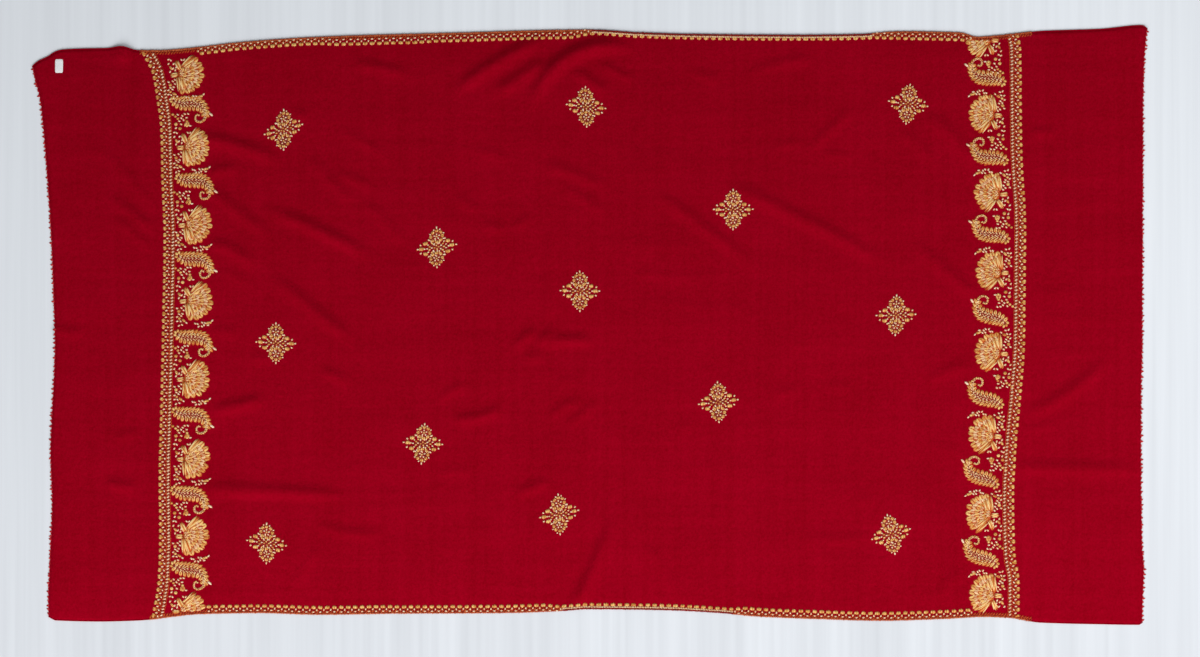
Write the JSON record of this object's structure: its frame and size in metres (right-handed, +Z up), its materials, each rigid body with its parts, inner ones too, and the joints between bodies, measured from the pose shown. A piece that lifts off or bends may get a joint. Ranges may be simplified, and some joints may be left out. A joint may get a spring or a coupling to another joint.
{
  "type": "embroidered wool shawl",
  "caption": "Rectangular red wool shawl laid flat, with gold flower and paisley borders across both ends, scattered sprigs, rolled hems and soft creases.",
  "frame": {"origin": "on the surface that the shawl lies on, under the middle of its box", "axes": "+X along the shawl, to the right in the picture; +Y across it, up in the picture; +Z up from the surface"},
  "size_m": [2.04, 1.0979, 0.0095],
  "materials": {
    "red_wool": "matt, soft nap",
    "edge_thread": "fine whipped thread",
    "gold_thread": "satin thread",
    "peach_thread": "satin thread",
    "cream_thread": "satin thread",
    "label_cloth": "smooth white tape"
  },
  "bodies": {
    "root": {"shawl_cloth": "red_wool", "hem_far": "edge_thread", "hem_near": "edge_thread", "hem_left_end": "red_wool", "hem_right_end": "red_wool", "disc_row_left": "gold_thread", "disc_row_right": "gold_thread", "seed_row_left": "cream_thread", "seed_row_right": "cream_thread", "braid_row_left": "cream_thread", "braid_row_right": "cream_thread", "disc_row_far": "gold_thread", "disc_row_near": "gold_thread", "flower_left_1": "peach_thread", "flower_left_2": "peach_thread", "flower_left_3": "peach_thread", "flower_left_4": "peach_thread", "flower_left_5": "peach_thread", "flower_left_6": "peach_thread", "flower_left_7": "peach_thread", "flower_left_8": "peach_thread", "flower_right_1": "peach_thread", "flower_right_2": "peach_thread", "flower_right_3": "peach_thread", "flower_right_4": "peach_thread", "flower_right_5": "peach_thread", "flower_right_6": "peach_thread", "flower_right_7": "peach_thread", "flower_right_8": "peach_thread", "paisley_left_1": "peach_thread", "paisley_left_2": "peach_thread", "paisley_left_3": "peach_thread", "paisley_left_4": "peach_thread", "paisley_left_5": "peach_thread", "paisley_left_6": "peach_thread", "paisley_left_7": "peach_thread", "paisley_right_1": "peach_thread", "paisley_right_2": "peach_thread", "paisley_right_3": "peach_thread", "paisley_right_4": "peach_thread", "paisley_right_5": "peach_thread", "paisley_right_6": "peach_thread", "paisley_right_7": "peach_thread", "sprig_1": "gold_thread", "sprig_2": "gold_thread", "sprig_3": "gold_thread", "sprig_4": "gold_thread", "sprig_5": "gold_thread", "sprig_6": "gold_thread", "sprig_7": "gold_thread", "sprig_8": "gold_thread", "sprig_9": "gold_thread", "sprig_10": "gold_thread", "sprig_11": "gold_thread", "sprig_12": "gold_thread", "sprig_13": "gold_thread", "corner_label": "label_cloth"}
  },
  "joints": []
}
